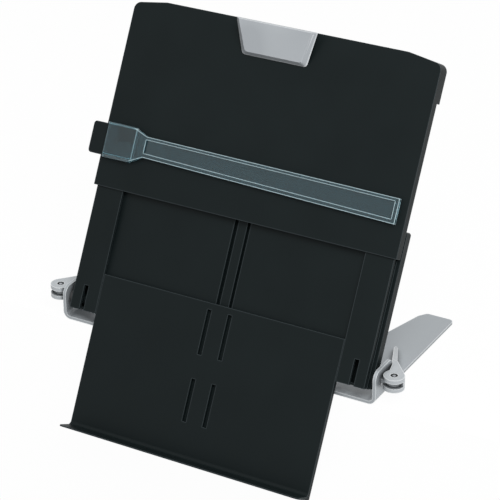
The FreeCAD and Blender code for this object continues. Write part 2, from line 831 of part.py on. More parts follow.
def guide_slider():
    body = new_body("guide_slider")
    ear_right = board_half + s.ear_gap
    hook_front = -s.upper_depth - s.face_gap
    hook_end = ear_right - s.hook_reach
    ear_left = board_half + s.ear_past
    prism(body, "slider_profile", "Y", s.ear_low, s.block_high, [
        (-block_right, s.running_gap),
        (-block_right, s.block_out),
        (-block_left, s.block_out),
        (-block_left, s.ear_out),
        (-ear_left, s.ear_out),
        (-ear_left, hook_front - s.hook_thick),
        (-hook_end, hook_front - s.hook_thick),
        (-hook_end, hook_front),
        (-ear_right, hook_front),
        (-ear_right, s.running_gap)])
    round_corners(body, "ear_corners", "Z", s.ear_corner,
                  [(-ear_left, place) for place in (s.ear_low, s.block_high)])
    prism(body, "block_foot", "Y", s.ear_low - s.overrun, s.block_low, rectangle(
        -cap_left - s.running_gap, -block_right + s.overrun, s.running_gap - s.overrun,
        s.block_out + s.overrun), cut=True)
    body.Placement = panel_place()


def line_guide():
    body = new_body("line_guide")
    cap_right = cap_left - s.cap_width
    taper_end = cap_right - s.taper_run
    bar_right = board_half - s.bar_end_inset
    past_end = bar_right + s.overrun
    prism(body, "guide_outline", "Z", s.cap_back, s.cap_front, [
        (-cap_left, s.cap_low),
        (-cap_right, s.cap_low),
        (-taper_end, s.bar_low),
        (bar_right, s.bar_end_low),
        (bar_right, s.bar_end_high),
        (-taper_end, s.bar_high),
        (-cap_right, s.cap_high),
        (-cap_left, s.cap_high)])
    low = s.cap_low - s.overrun
    high = s.cap_high + s.overrun
    prism(body, "above_bar", "Y", low, high, [
        (-cap_right, s.cap_front),
        (-taper_end, s.bar_front),
        (past_end, s.bar_front),
        (past_end, s.cap_front + s.overrun),
        (-cap_right, s.cap_front + s.overrun)], cut=True)
    cavity_right = block_right - s.running_gap
    prism(body, "below_bar", "Y", low, high, rectangle(
        -cavity_right, past_end, s.cap_back - s.overrun, s.bar_back), cut=True)
    prism(body, "tray", "Z", s.bar_back + s.bar_floor, s.cap_front, [
        (-taper_end, s.bar_low + s.bar_rim_low),
        (bar_right - s.bar_rim_end, s.bar_end_low + s.bar_rim_low),
        (bar_right - s.bar_rim_end, s.bar_end_high - s.bar_rim_high),
        (-taper_end, s.bar_high - s.bar_rim_high)], cut=True)
    past_left = cap_left + s.overrun
    prism(body, "cap_hollow", "Z", s.cap_back - s.overrun, s.block_out, rectangle(
        -past_left, -cavity_right, s.block_low - s.running_gap, s.block_high + s.running_gap), cut=True)
    past_front = s.cap_front + s.overrun
    for name, edge, bevel, turn in (("low_bevel", s.cap_low, s.cap_low_bevel, 1),
                                    ("high_bevel", s.cap_high, s.cap_high_bevel, -1)):
        prism(body, name, "X", -past_left, -taper_end, [
            (edge - turn * s.overrun, s.cap_front - bevel - s.overrun),
            (edge + turn * (bevel + s.overrun), past_front),
            (edge - turn * s.overrun, past_front)], cut=True)
    prism(body, "side_bevel", "Y", low, high, [
        (-past_left, s.cap_front - s.cap_side_bevel - s.overrun),
        (-cap_left + s.cap_side_bevel + s.overrun, past_front),
        (-past_left, past_front)], cut=True)
    body.Placement = panel_place()


# Base: a bent strip with two uprights

def base_bracket():
    body = new_body("base_bracket")
    prism(body, "bracket_profile", "Y", -base_rear, base_rear, [
        (-base_half, s.pad_thick),
        (base_half, s.pad_thick),
        (base_half, base_top),
        (upright_inside, base_top),
        (upright_inside, strip_top),
        (-upright_inside, strip_top),
        (-upright_inside, base_top),
        (-base_half, base_top)])
    rod(body, "pin_bore", "X", -base_half - s.overrun, base_half + s.overrun, [tilt_pin_place],
        s.tilt_pin_radius + s.pin_gap / 2, cut=True)
    round_corners(body, "outer_bends", "Y", s.base_bend,
                  [(side * base_half, s.pad_thick) for _, side in SIDES])
    round_corners(body, "inner_bends", "Y", s.base_bend - s.base_thick,
                  [(side * upright_inside, strip_top) for _, side in SIDES])
    round_corners(body, "front_corners", "X", s.front_corner, [(-base_rear, base_top)])
    round_corners(body, "rear_corners", "X", s.rear_corner, [(base_rear, base_top)])


def strip_pad():
    body = new_body("strip_pad")
    half = board_half - s.strip_pad_inset
    depth = s.strip_pad_depth / 2
    prism(body, "pad_outline", "Z", NONE, s.pad_thick, rectangle(-half, half, -depth, depth))


def tilt_pins():
    for side_name, side in SIDES:
        body = new_body(f"{side_name}_tilt_pin")
        ends = (side * (board_half - s.tilt_pin_reach), side * base_half)
        low, high = sorted(ends, key=lambda size: size.value)
        rod(body, f"{side_name}_shank", "X", low, high, [tilt_pin_place], s.tilt_pin_radius)


# Foot hinges

def hinge_lugs():
    for side_name, side in SIDES:
        body = new_body(f"{side_name}_hinge_lug")
        middle = (side * hinge_x, hinge_y)
        neck = s.lug_neck_half
        prism(body, f"{side_name}_neck", "Z", lug_low, lug_low + s.ring_thick, rectangle(
            side * base_half, side * hinge_x, hinge_y - neck, hinge_y + neck))
        rod(body, f"{side_name}_lug_disc", "Z", lug_low, lug_low + s.ring_thick, [middle], s.lug_radius)
        rod(body, f"{side_name}_lug_bore", "Z", lug_low - s.overrun, lug_low + s.ring_thick + s.overrun,
            [middle], s.leg_pin_radius + s.pin_gap / 2, cut=True)


def leg_pins():
    for side_name, side in SIDES:
        body = new_body(f"{side_name}_leg_pin")
        rod(body, f"{side_name}_pin_bar", "Z", s.ring_low + s.leg_pin_recess, ring_high - s.leg_pin_recess,
            [(side * hinge_x, hinge_y)], s.leg_pin_radius)


def arm_points():
    """The right arm's middle line behind the upright: waist, tip, and the direction across it."""
    length = math.hypot(s.arm_side.value, s.arm_run.value)
    across_x = s.arm_run / length
    across_y = s.arm_side / length
    waist = (base_half + s.waist_out, base_rear + s.waist_back)
    tip = (waist[0] - s.arm_side, waist[1] + s.arm_run)
    return waist, tip, across_x, across_y


def leg_rivet_places(side):
    waist, tip, across_x, across_y = arm_points()
    along = (s.leg_rivet_first, s.leg_rivet_first + s.leg_rivet_pitch)
    return [(side * (tip[0] + across_y * run), tip[1] - across_x * run) for run in along]


def leg_knuckles():
    waist, tip, across_x, across_y = arm_points()
    waist_half = s.waist_width / 2
    end_half = s.arm_end_width / 2
    point_half = s.arm_point_width / 2
    inner_radius = s.lug_radius + s.ring_gap
    arm_end = (tip[0] + across_y * s.arm_point, tip[1] - across_x * s.arm_point)

    def around(radius, angle):
        return hinge_x + radius * cosine(angle), hinge_y + radius * sine(angle)

    def across(point, half):
        return point[0] + across_x * half, point[1] + across_y * half

    for side_name, side in SIDES:
        body = new_body(f"{side_name}_leg_knuckle")
        right_arm = [
            around(s.ring_radius, s.arm_start),
            around(inner_radius, s.arm_start) + (inner_radius, -side),
            around(inner_radius, -s.web_start),
            around(s.ring_radius, -s.web_start) + (s.ring_radius, side),
            around(s.ring_radius, s.web_end),
            across(waist, waist_half),
            across(arm_end, end_half),
            across(tip, point_half),
            across(tip, -point_half),
            across(arm_end, -end_half),
            across(waist, -waist_half),
            (base_half + s.upright_clear, base_rear)]
        arm = [(side * point[0],) + tuple(point[1:]) for point in right_arm]
        prism(body, f"{side_name}_arm", "Z", plate_top, ring_high, arm)
        beyond = tip[1] + s.overrun
        inside, outside = sorted(
            (side * (tip[0] - s.arm_point), side * (hinge_x + s.ring_radius + s.overrun)),
            key=lambda size: size.value)
        prism(body, f"{side_name}_slope", "X", inside, outside, [
            (waist[1], ring_high),
            (beyond, plate_top + s.arm_tip_height),
            (beyond, ring_high + s.overrun),
            (waist[1], ring_high + s.overrun)], cut=True)
        before_ring = hinge_y - s.ring_radius - s.overrun
        prism(body, f"{side_name}_under", "X", inside, outside, [
            (before_ring, plate_top - s.overrun),
            (waist[1] + s.arm_under, plate_top - s.overrun),
            (waist[1] + s.arm_under, plate_top),
            (base_rear, s.ring_low),
            (before_ring, s.ring_low)], cut=True)
        middle = [(side * hinge_x, hinge_y)]
        for level, low in (("low", s.ring_low), ("high", ring_high - s.ring_thick)):
            rod(body, f"{side_name}_{level}_ring", "Z", low, low + s.ring_thick, middle, s.ring_radius)
        rod(body, f"{side_name}_ring_bore", "Z", s.ring_low - s.overrun, ring_high + s.overrun, middle,
            s.leg_pin_radius + s.pin_gap, cut=True)
        rod(body, f"{side_name}_blind_holes", "Z", plate_top - s.overrun,
            s.pad_thick + s.leg_rivet_length + s.running_gap, leg_rivet_places(side),
            s.leg_rivet_radius + s.pin_gap / 2, cut=True)


def leg_plates():
    outer = base_half - s.leg_plate_side
    for side_name, side in SIDES:
        body = new_body(f"{side_name}_leg_plate")
        corners = [(side * x, y) for x, y in (
            (outer, s.leg_plate_front),
            (outer, s.leg_plate_rear),
            (outer - s.leg_plate_rear_width, s.leg_plate_rear),
            (outer - s.leg_plate_knee_width, s.leg_plate_rear - s.leg_plate_knee),
            (outer - s.leg_plate_width, s.leg_plate_wide),
            (outer - s.leg_plate_front_width, s.leg_plate_front))]
        prism(body, f"{side_name}_plate_outline", "Z", s.pad_thick, plate_top, corners)
        places = leg_rivet_places(side)
        rod(body, f"{side_name}_rivet_holes", "Z", s.pad_thick - s.overrun, plate_top + s.overrun, places,
            s.leg_rivet_radius + s.pin_gap / 2, cut=True)
        round_corners(body, f"{side_name}_plate_corners", "Z", s.leg_plate_corner, corners[1:4])


def leg_rivets():
    for side_name, side in SIDES:
        body = new_body(f"{side_name}_leg_rivets")
        rod(body, f"{side_name}_rivet_shanks", "Z", s.pad_thick, s.pad_thick + s.leg_rivet_length,
            leg_rivet_places(side), s.leg_rivet_radius)


def leg_pads():
    outer = base_half - s.leg_plate_side - s.leg_pad_inset
    for side_name, side in SIDES:
        body = new_body(f"{side_name}_leg_pad")
        corners = [(side * x, y) for x, y in rectangle(
            outer - s.leg_pad_width, outer, s.leg_pad_front, s.leg_pad_rear)]
        prism(body, f"{side_name}_pad_outline", "Z", NONE, s.pad_thick, corners)


PIECES = (
    upper_board, lower_board, rear_frame, shell_screws, friction_washers, document_shelf, shelf_brake_pad,
    clip_base, clip_rivets, clip_pin, clip_lever, clip_spring, guide_slider, line_guide, base_bracket,
    strip_pad, tilt_pins, hinge_lugs, leg_pins, leg_knuckles, leg_plates, leg_rivets, leg_pads)
for make in PIECES:
    make()
doc.recompute()

for item in doc.Objects:
    if "Invalid" in item.State or "Error" in item.State:
        raise RuntimeError(f"{item.Label} failed: {item.State}")
bodies = [item for item in doc.Objects if item.TypeId == "PartDesign::Body"]
for body in bodies:
    if body.Shape.isNull() or not body.Shape.isValid():
        raise RuntimeError(f"{body.Label} has no valid shape")

os.makedirs("parts", exist_ok=True)
for body in bodies:
    body.Shape.exportStep(f"parts/{body.Label}.step")
    print(body.Label, len(body.Shape.Solids), round(body.Shape.Volume, 1))
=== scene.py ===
# %% [markdown]
# Copy holder with line guide. The solids come from the CAD model as a fixed frame, in metres, and this
# notebook gives them their looks: moulded black plastic, silver painted steel, clear acrylic and the
# small fasteners. We load the frame first.

# %% Load the CAD frame
import json
import math

import bmesh
import bpy
from mathutils import Matrix, Vector


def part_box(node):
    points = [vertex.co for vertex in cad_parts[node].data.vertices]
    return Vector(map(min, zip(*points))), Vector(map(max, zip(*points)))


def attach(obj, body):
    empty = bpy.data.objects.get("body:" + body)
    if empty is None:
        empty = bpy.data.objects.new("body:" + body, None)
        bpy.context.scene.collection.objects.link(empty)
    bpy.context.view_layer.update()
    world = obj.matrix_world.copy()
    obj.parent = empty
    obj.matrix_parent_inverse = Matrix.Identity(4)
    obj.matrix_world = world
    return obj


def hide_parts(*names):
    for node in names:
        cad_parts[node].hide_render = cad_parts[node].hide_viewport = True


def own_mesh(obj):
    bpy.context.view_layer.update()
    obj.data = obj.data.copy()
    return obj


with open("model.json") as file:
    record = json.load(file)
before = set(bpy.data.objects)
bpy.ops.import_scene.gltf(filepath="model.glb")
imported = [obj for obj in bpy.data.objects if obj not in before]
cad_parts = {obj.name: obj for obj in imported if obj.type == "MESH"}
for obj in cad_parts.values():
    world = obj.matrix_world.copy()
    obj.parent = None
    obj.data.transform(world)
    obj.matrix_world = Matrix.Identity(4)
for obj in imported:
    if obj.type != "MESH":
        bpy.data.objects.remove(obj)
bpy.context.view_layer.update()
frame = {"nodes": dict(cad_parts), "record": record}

print("pieces from CAD:", len(frame["nodes"]))

# %% [markdown]
# The holder stands at a desk's edge, because its shelf is pulled down past the desk top. The photograph
# was taken from the reader's right, a little above, with a long lens. So the camera stands nearly two
# metres away, on a line given by two angles, and looks at a point near the middle of the board.

# %% Camera at the photograph's viewing angle
MM = 0.001
VIEW_AZIMUTH = 29.394
VIEW_ELEVATION = 27.103
VIEW_DISTANCE = 1913.6 * MM
VIEW_TARGET = Vector((16.57, 20.12, 98.60)) * MM
FOCAL_LENGTH_IN_FRAMES = 2188.6 / 500
SENSOR_WIDTH = 36

azimuth = math.radians(VIEW_AZIMUTH)
elevation = math.radians(VIEW_ELEVATION)
towards_camera = Vector((
    math.sin(azimuth) * math.cos(elevation),
    -math.cos(azimuth) * math.cos(elevation),
    math.sin(elevation)))
camera_data = bpy.data.cameras.new("camera")
camera_data.sensor_width = SENSOR_WIDTH
camera_data.lens = FOCAL_LENGTH_IN_FRAMES * SENSOR_WIDTH
camera = bpy.data.objects.new("camera", camera_data)
bpy.context.collection.objects.link(camera)
camera.location = VIEW_TARGET + towards_camera * VIEW_DISTANCE
camera.rotation_euler = (-towards_camera).to_track_quat("-Z", "Y").to_euler()
bpy.context.scene.camera = camera
print("camera at", [round(value, 3) for value in camera.location])

# %% [markdown]
# Colours are written as the hex values that a picture program shows. The renderer works with linear
# light, so one function turns the one into the other.

# %% Colours from hex values
def linear(hex_colour):
    """An sRGB hex colour as linear red, green, blue and alpha."""
    levels = [int(hex_colour[start:start + 2], 16) / 255 for start in (1, 3, 5)]
    return tuple(
        level / 12.92 if level <= 0.04045 else ((level + 0.055) / 1.055) ** 2.4
        for level in levels) + (1,)


print("mid grey is", [round(value, 3) for value in linear("#808080")])

# %% [markdown]
# Every material is a small network of nodes. One function adds a node, sets its values and links its
# inputs, and one starts a material with its surface shader.

# %% A helper for nodes, and one for materials
def add_node(tree, kind, settings=None, inputs=None):
    """A node with its settings. An input is a value, or the output socket of another node."""
    node = tree.nodes.new(kind)
    for name, value in (settings or {}).items():
        setattr(node, name, value)
    for name, value in (inputs or {}).items():
        if isinstance(value, bpy.types.NodeSocket):
            tree.links.new(value, node.inputs[name])
        else:
            node.inputs[name].default_value = value
    return node


def new_material(name, **surface):
    """A material with a principled surface. Returns it, its tree, its surface and the place on the piece."""
    material = bpy.data.materials.new(name)
    material.use_nodes = True
    tree = material.node_tree
    tree.nodes.clear()
    shader = add_node(tree, "ShaderNodeBsdfPrincipled", inputs={
        key.replace("_", " "): value for key, value in surface.items()})
    add_node(tree, "ShaderNodeOutputMaterial", inputs={"Surface": shader.outputs["BSDF"]})
    place = add_node(tree, "ShaderNodeTexCoord").outputs["Object"]
    return material, tree, shader, place


# %% [markdown]
# Patterns are noises whose cells have a size in real millimetres. A noise stays mostly near its middle, so
# that middle range is what we spread between two roughnesses, or between two shares of a colour.

# %% Helpers for patterns and colours
NOISE_ROUGHNESS = 0.55
PATTERN_MIDDLE = (0.35, 0.65)


def speckle(tree, place, size_mm, detail=2.0):
    """A noise whose cells are about this many millimetres across."""
    return add_node(tree, "ShaderNodeTexNoise", inputs={
        "Vector": place, "Scale": 1 / (size_mm * MM), "Detail": detail, "Roughness": NOISE_ROUGHNESS})


def between(tree, value, low, high):
    """Turns a pattern's middle range into a number between low and high."""
    start, end = PATTERN_MIDDLE
    return add_node(tree, "ShaderNodeMapRange", inputs={
        "Value": value, "From Min": start, "From Max": end, "To Min": low, "To Max": high}).outputs["Result"]


def mix_colours(tree, share, first, second):
    """A colour between two. Each is a hex value, or the output socket of another node."""
    mix = add_node(tree, "ShaderNodeMix", {"data_type": "RGBA"}, {"Factor": share})
    for name, value in (("A", first), ("B", second)):
        colour = next(socket for socket in mix.inputs if socket.name == name and socket.type == "RGBA")
        if isinstance(value, str):
            colour.default_value = linear(value)
        else:
            tree.links.new(value, colour)
    return next(socket for socket in mix.outputs if socket.type == "RGBA")


# %% [markdown]
# Edges get a painted highlight and grooves a painted shade, and both are found by short rays. Rays into
# the solid meet nothing behind a flat face, and beside an outer edge some of them meet the next face from
# inside. Rays into the open meet a wall deep in a groove.

# %% Helpers for painted edge highlights, painted groove shade and bumps
RAYS = 8
EDGE_OPENNESS = (1.0, 0.6)
GROOVE_OPENNESS = (0.9, 0.35)


def openness_share(tree, rays, openness, strongest):
    start, end = openness
    return add_node(tree, "ShaderNodeMapRange", inputs={
        "Value": rays.outputs["AO"], "From Min": start, "From Max": end,
        "To Min": 0.0, "To Max": strongest}).outputs["Result"]


def edge_highlight_share(tree, reach_mm, strongest=1.0):
    """0 on a face, rising to the strongest value on an outer edge: where a painted highlight goes."""
    inside = add_node(tree, "ShaderNodeAmbientOcclusion", {
        "inside": True, "only_local": True, "samples": RAYS}, {"Distance": reach_mm * MM})
    return openness_share(tree, inside, EDGE_OPENNESS, strongest)


def crevice_shade_share(tree, reach_mm, strongest=1.0):
    """0 on an open face, rising to the strongest value deep in a groove: where a painted shade goes."""
    outside = add_node(tree, "ShaderNodeAmbientOcclusion", {"samples": RAYS}, {"Distance": reach_mm * MM})
    return openness_share(tree, outside, GROOVE_OPENNESS, strongest)


def bump(tree, height, depth_mm, strength=1.0):
    return add_node(tree, "ShaderNodeBump", inputs={
        "Height": height, "Distance": depth_mm * MM, "Strength": strength}).outputs["Normal"]


# %% [markdown]
# The board, the frame, the shelf and the slider are black ABS. The mould was spark eroded, which leaves a
# fine grain: the plastic looks deep black with a soft, slightly green-grey sheen, and its outer edges get a
# painted highlight of thin lighter lines. We make the grain from two noises, one for the grit and one for
# slow flow marks.

# %% Black ABS, moulded with a fine spark-eroded grain
BLACK_GRAIN_MM = 0.5  # drawn coarser than the real 0.1 mm, which wouldn't show
FLOW_MARK_MM = 45
BLACK_EDGE_HIGHLIGHT_MM = 0.8
BLACK_EDGE_HIGHLIGHT_SHARE = 0.7
BLACK_ROUGHNESS = (0.42, 0.52)
BLACK_BUMP = (0.03, 0.5)  # depth in millimetres, and strength
BLACK_SPECULAR = 0.1

black_abs, tree, surface, place = new_material("black_abs_moulded", Metallic=0.0, IOR=1.53)
grain = speckle(tree, place, BLACK_GRAIN_MM, 3).outputs["Fac"]
flow = speckle(tree, place, FLOW_MARK_MM, 1).outputs["Fac"]
plain = mix_colours(tree, flow, "#0f1617", "#141b1c")
# Painted highlight: the outer edges are mixed towards a lighter grey.
edged = mix_colours(tree, edge_highlight_share(tree, BLACK_EDGE_HIGHLIGHT_MM, BLACK_EDGE_HIGHLIGHT_SHARE), plain, "#40474a")
tree.links.new(edged, surface.inputs["Base Color"])
tree.links.new(between(tree, flow, *BLACK_ROUGHNESS), surface.inputs["Roughness"])
tree.links.new(bump(tree, grain, *BLACK_BUMP), surface.inputs["Normal"])
surface.inputs["Specular IOR Level"].default_value = BLACK_SPECULAR
print("made", black_abs.name)

# %% [markdown]
# The base strip and the foot plates are steel with a silver stoved paint. Its metal flake is very fine, so
# we see a satin grey with a faint orange-peel ripple. The bent and sheared edges get a painted highlight,
# and the grooves a painted shade. The hinge castings have the same paint in a lighter tone.

# %% Silver paint on steel, and on the castings
PEEL_MM = 1.6
FLAKE_MM = 0.25
SILVER_EDGE_HIGHLIGHT_MM = 0.8
SILVER_EDGE_HIGHLIGHT_SHARE = 0.75
SILVER_GROOVE_SHADE_MM = 7
SILVER_GROOVE_SHADE_SHARE = 0.85
PEEL_BUMP = (0.02, 0.4)


def painted_metal(name, dark, light, edge, metallic, rough_low, rough_high):
    """A silver paint: two tones of flake, an edge tone as painted highlight, a painted shade in grooves and
    a fine ripple.
    """
    material, tree, surface, place = new_material(name, Metallic=metallic)
    peel = speckle(tree, place, PEEL_MM).outputs["Fac"]
    flake = speckle(tree, place, FLAKE_MM, 1).outputs["Fac"]
    face = mix_colours(tree, flake, dark, light)
    # Painted highlight: the outer edges are mixed towards the light edge tone.
    edged = mix_colours(tree, edge_highlight_share(tree, SILVER_EDGE_HIGHLIGHT_MM, SILVER_EDGE_HIGHLIGHT_SHARE), face, edge)
    # Painted shade: deep in grooves the colour is mixed towards a dark grey.
    groove = crevice_shade_share(tree, SILVER_GROOVE_SHADE_MM, SILVER_GROOVE_SHADE_SHARE)
    grooved = mix_colours(tree, groove, edged, "#3c4043")
    tree.links.new(grooved, surface.inputs["Base Color"])
    tree.links.new(between(tree, flake, rough_low, rough_high), surface.inputs["Roughness"])
    tree.links.new(bump(tree, peel, *PEEL_BUMP), surface.inputs["Normal"])
    return material


silver_paint = painted_metal(
    "silver_stoved_paint", dark="#9da2a6", light="#aab0b4", edge="#e6eaec",
    metallic=0.25, rough_low=0.34, rough_high=0.44)
cast_silver = painted_metal(
    "silver_paint_on_casting", dark="#adb2b6", light="#bcc1c4", edge="#f0f3f4",
    metallic=0.25, rough_low=0.30, rough_high=0.40)
print("made", silver_paint.name, "and", cast_silver.name)

# %% [markdown]
# The clip's lever has the same paint family in a lighter tone, and it is smoother, because it is the
# piece that the reader touches and looks at. Its broad face has a painted lamp reflection that shades softly
# from light to dark.

# %% Light silver paint on the clip
FACE_SHADE_MM = 38
FACE_SHADE_SHARES = (0.0, 0.6)
CLIP_EDGE_HIGHLIGHT_SHARE = 0.6
CLIP_ROUGHNESS = (0.28, 0.36)

clip_paint, tree, surface, place = new_material("light_silver_paint", Metallic=0.3)
flake = speckle(tree, place, FLAKE_MM, 1).outputs["Fac"]
# Painted lamp reflection: broad soft patches of darker grey over the face.
shade = speckle(tree, place, FACE_SHADE_MM, 0).outputs["Fac"]
fine = mix_colours(tree, flake, "#aeb3b7", "#b6bbbf")
soft = mix_colours(tree, between(tree, shade, *FACE_SHADE_SHARES), fine, "#9a9fa4")
# Painted highlight on the outer edges.
edged = mix_colours(tree, edge_highlight_share(tree, SILVER_EDGE_HIGHLIGHT_MM, CLIP_EDGE_HIGHLIGHT_SHARE), soft, "#e3e7ea")
tree.links.new(edged, surface.inputs["Base Color"])
tree.links.new(between(tree, flake, *CLIP_ROUGHNESS), surface.inputs["Roughness"])
print("made", clip_paint.name)

# %% [markdown]
# Pins, rivets, screws and the clip's hinge plate are zinc-plated steel, drawn or stamped. Zinc has a
# cool tone and fine drawing lines along the metal.

# %% Zinc-plated steel
DRAW_LINE_MM = 0.4
DRAW_STRETCH = (0.05, 1, 1)
ZINC_ROUGHNESS = (0.24, 0.36)

zinc_steel, tree, surface, place = new_material("zinc_plated_steel", Metallic=1.0)
stretched = add_node(tree, "ShaderNodeMapping", inputs={"Vector": place, "Scale": DRAW_STRETCH})
lines = speckle(tree, stretched.outputs["Vector"], DRAW_LINE_MM).outputs["Fac"]
tree.links.new(mix_colours(tree, lines, "#8f9398", "#b2b5b9"), surface.inputs["Base Color"])
tree.links.new(between(tree, lines, *ZINC_ROUGHNESS), surface.inputs["Roughness"])
print("made", zinc_steel.name)

# %% [markdown]
# The line guide is clear acrylic, injection moulded and polished. Thick acrylic has a blue-green tint, and
# it carries light along inside itself and lets it out at its edges, so the rims look bright. We make the
# body a tinted glass, and paint the bright rims as a pale frost near its edges: a painted highlight.

# %% Clear acrylic
RIM_HIGHLIGHT_MM = 1.0
HAZE_MM = 30
CLEAR_SHARES = (0.95, 0.25)  # how much light goes through, in the body and at a rim
CLEAR_SPECULAR = 0.2

clear_acrylic, tree, surface, place = new_material(
    "clear_acrylic", Metallic=0.0, Roughness=0.02, IOR=1.49)
haze = speckle(tree, place, HAZE_MM, 1).outputs["Fac"]
# Painted highlight: a pale frost near the edges, which also lets less light through.
rim = edge_highlight_share(tree, RIM_HIGHLIGHT_MM)
body_tint = mix_colours(tree, haze, "#78aab8", "#84b5c2")
tree.links.new(mix_colours(tree, rim, body_tint, "#dcf2f8"), surface.inputs["Base Color"])
clear = add_node(tree, "ShaderNodeMapRange", inputs={
    "Value": rim, "To Min": CLEAR_SHARES[0], "To Max": CLEAR_SHARES[1]})
tree.links.new(clear.outputs["Result"], surface.inputs["Transmission Weight"])
surface.inputs["Specular IOR Level"].default_value = CLEAR_SPECULAR
print("made", clear_acrylic.name)

# %% [markdown]
# The pads under the base are black rubber, the shelf's brake is wool felt, and the friction washers are
# grey vulcanised fibre. They are dull, with a coarser surface than the plastic.

# %% Rubber, felt and fibre
RUBBER_GRAIN_MM = 0.6
RUBBER_ROUGHNESS = (0.72, 0.85)
RUBBER_BUMP = (0.05, 0.6)
FELT_STRAND_MM = 0.4
FELT_BUMP = (0.15, 0.8)
FELT_SHEEN = 0.4
FIBRE_GRAIN_MM = 0.5
FIBRE_ROUGHNESS = (0.55, 0.7)

rubber, tree, surface, place = new_material("moulded_rubber", Metallic=0.0)
grit = speckle(tree, place, RUBBER_GRAIN_MM, 3).outputs["Fac"]
tree.links.new(mix_colours(tree, grit, "#151515", "#1e1e1e"), surface.inputs["Base Color"])
tree.links.new(between(tree, grit, *RUBBER_ROUGHNESS), surface.inputs["Roughness"])
tree.links.new(bump(tree, grit, *RUBBER_BUMP), surface.inputs["Normal"])

felt, tree, surface, place = new_material("wool_felt", Metallic=0.0, Roughness=0.95)
fibres = speckle(tree, place, FELT_STRAND_MM, 4).outputs["Fac"]
tree.links.new(mix_colours(tree, fibres, "#1c1c1d", "#3a3a3c"), surface.inputs["Base Color"])
tree.links.new(bump(tree, fibres, *FELT_BUMP), surface.inputs["Normal"])
surface.inputs["Sheen Weight"].default_value = FELT_SHEEN

fibre, tree, surface, place = new_material("vulcanised_fibre", Metallic=0.0)
grit = speckle(tree, place, FIBRE_GRAIN_MM, 3).outputs["Fac"]
tree.links.new(mix_colours(tree, grit, "#3a3b3c", "#4a4b4c"), surface.inputs["Base Color"])
tree.links.new(between(tree, grit, *FIBRE_ROUGHNESS), surface.inputs["Roughness"])
print("made", rubber.name, felt.name, fibre.name)

# %% [markdown]
# Each CAD piece now gets its finish. Moulded and bent edges are never razor sharp, and it is the small
# radius on an edge that catches the light, so most pieces also get a fine bevel. The CAD mesh is loose
# triangles: a weld joins them first, and only inside the modifier, so the mesh itself stays as it is.

# %% Finishes and edge radii for the CAD pieces
FINISHES = {
    "black_plastic": (black_abs, 0.35),
    "silver_paint": (silver_paint, 0.4),
    "clip_silver": (clip_paint, 0.3),
    "clear_plastic": (clear_acrylic, 0.5),
    "steel": (zinc_steel, 0.12),
    "rubber": (rubber, 0.15),
    "felt": (felt, 0),
    "fibre": (fibre, 0.1),
}
CASTINGS = ("left_leg_knuckle", "right_leg_knuckle", "left_hinge_lug", "right_hinge_lug")
SHARP_EDGE = math.radians(35)
WELD_MM = 0.002
BEVEL_STEPS = 2

slots = {part["node"]: part["material_slot"] for part in frame["record"]["subparts"]}


def round_edges(piece, radius_mm):
    weld = piece.modifiers.new("joined", "WELD")
    weld.merge_threshold = WELD_MM * MM
    bevel = piece.modifiers.new("edge_radius", "BEVEL")
    bevel.width = radius_mm * MM
    bevel.segments = BEVEL_STEPS
    bevel.limit_method = "ANGLE"
    bevel.angle_limit = SHARP_EDGE
    bevel.miter_outer = "MITER_ARC"
    normals = piece.modifiers.new("flat_faces", "WEIGHTED_NORMAL")
    normals.keep_sharp = True


for name, node in frame["nodes"].items():
    finish, radius = FINISHES[slots[name]]
    if name in CASTINGS:
        finish = cast_silver
    for slot in node.material_slots:
        slot.material = finish
    if radius:
        round_edges(node, radius)
print("finished pieces:", len(slots))

# %% [markdown]
# Some fasteners show more than the CAD model's plain rods. Modelling by hand works on the faces that are
# selected, so one helper selects faces by their place and direction, and one closes the work on a piece.

# %% Helpers for modelling by hand
def start_piece(name):
    """Names the new primitive, and goes into edit mode on its faces."""
    piece = bpy.context.object
    piece.name = name
    bpy.ops.object.mode_set(mode="EDIT")
    bpy.ops.mesh.select_mode(type="FACE")
    return piece


def pick_faces(piece, wanted):
    """Selects only the faces for which wanted(middle, direction) is true. Lengths are in mm."""
    mesh = bmesh.from_edit_mesh(piece.data)
    for face in mesh.faces:
        face.select_set(bool(wanted(face.calc_center_median() / MM, face.normal)))
    bmesh.update_edit_mesh(piece.data)


def inset(width_mm):
    bpy.ops.mesh.inset(thickness=width_mm * MM)


def pull(height_mm, width_share=1.0):
    """Extrudes the picked faces along Z, and makes their outline wider or narrower."""
    bpy.ops.mesh.extrude_region_move(TRANSFORM_OT_translate={"value": (0, 0, height_mm * MM)})
    if width_share != 1.0:
        bpy.ops.transform.resize(value=(width_share, width_share, 1))


def soften(piece, radius_mm):
    bevel = piece.modifiers.new("edge_radius", "BEVEL")
    bevel.width = radius_mm * MM
    bevel.segments = BEVEL_STEPS
    bevel.limit_method = "ANGLE"
    bpy.ops.object.modifier_apply(modifier=bevel.name)


def deselect_all():
    bpy.ops.object.select_all(action="DESELECT")


print("helpers ready with bevels of", BEVEL_STEPS, "steps")

# %% [markdown]
# Each foot turns on a hollow rivet. Its end lies just under the top ring's face: a shallow hollow, near
# black as a painted shade, with the bright end of the rivet's core in the middle. We start from a flat
# cylinder on the CAD pin, and pull the core up out of its top face, with a small crown.

# %% Hollow ends of the foot pins
HOLLOW_RADIUS = 3.05
CORE_RADIUS = 1.55
HOLLOW_DEPTH = 0.2
CORE_RISE = 0.5
CROWN_RIM = 0.4
CROWN_RISE = 0.15
CROWN_SHARE = 0.7
PIN_END_EDGE = 0.08
CORE_MARGIN = 0.05
PIN_SIDES = 40
SHADE_MOTTLE_MM = 1.2
HOLLOW_SHADE_ROUGHNESS = (0.4, 0.6)
FACING = 0.9  # a face points up or down when its direction's height is past this

